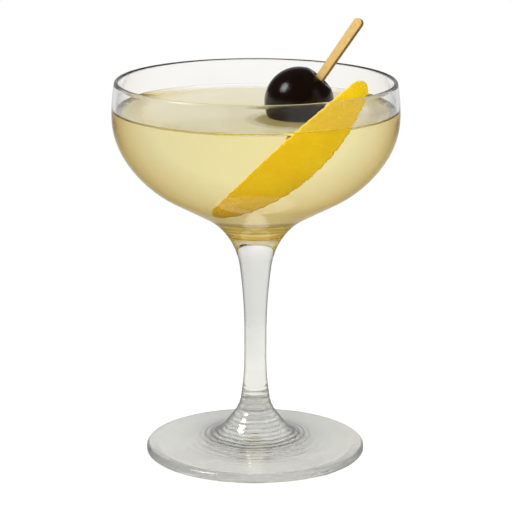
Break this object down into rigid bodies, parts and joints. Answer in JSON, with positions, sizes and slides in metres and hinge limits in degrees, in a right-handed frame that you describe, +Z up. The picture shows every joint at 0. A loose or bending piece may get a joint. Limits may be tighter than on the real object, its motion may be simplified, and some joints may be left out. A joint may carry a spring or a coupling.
{
  "type": "tuxedo cocktail",
  "caption": "Stemmed coupe holding a pale yellow cocktail, with a dark cherry on a flat wooden pick and a strip of lemon peel along the wall.",
  "frame": {"origin": "on the glass's axis, at the level of the table it stands on", "axes": "+Z up along the stem; -Y is the front, where the lemon peel lies against the wall; +X is the side the pick leans to"},
  "size_m": [0.0982, 0.0982, 0.1535],
  "materials": {
    "glass": "clear and polished",
    "drink": "clear pale yellow liquid, a little hazy",
    "lemon_peel": "waxy zest with fine pores outside, pale pith inside",
    "cherry": "wet dark fruit skin",
    "pick": "pale bare bamboo"
  },
  "bodies": {
    "root": {"glass": "glass", "drink": "drink", "lemon_peel": "lemon_peel", "cherry": "cherry", "pick": "pick"}
  },
  "joints": []
}
